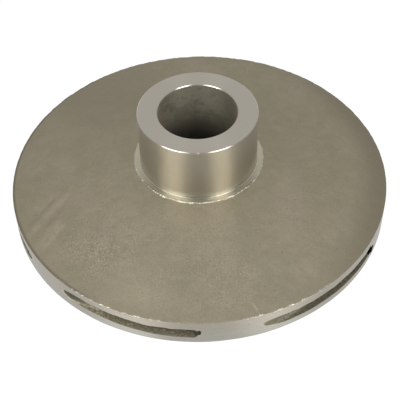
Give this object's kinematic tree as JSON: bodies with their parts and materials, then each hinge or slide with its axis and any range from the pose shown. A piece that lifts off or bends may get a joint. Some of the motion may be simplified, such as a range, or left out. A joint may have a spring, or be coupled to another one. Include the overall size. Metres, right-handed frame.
{
  "type": "centrifugal pump impeller",
  "caption": "Closed radial pump impeller: coned back shroud, backward-curved vanes, thin front shroud, long bored boss and suction neck, cast and then machined.",
  "frame": {"origin": "centre of the suction neck's end face, on the shaft axis", "axes": "+Z along the shaft axis from the suction neck to the boss end; -Y through the blunt end of the first outlet"},
  "size_m": [0.196, 0.196, 0.0717],
  "materials": {
    "machined_steel": "turned, fine rings round the shaft axis, satin",
    "cast_steel": "as-cast stainless steel, sand grain, matt, turned bright at the rim",
    "cast_steel_passage": "as-cast stainless steel inside the passages, rough, matt, tips turned bright"
  },
  "bodies": {
    "root": {"hub": "machined_steel", "eye_ring": "machined_steel", "back_shroud": "cast_steel", "front_shroud": "cast_steel", "vane_1": "cast_steel_passage", "vane_2": "cast_steel_passage", "vane_3": "cast_steel_passage", "vane_4": "cast_steel_passage", "vane_5": "cast_steel_passage", "vane_6": "cast_steel_passage"}
  },
  "joints": []
}
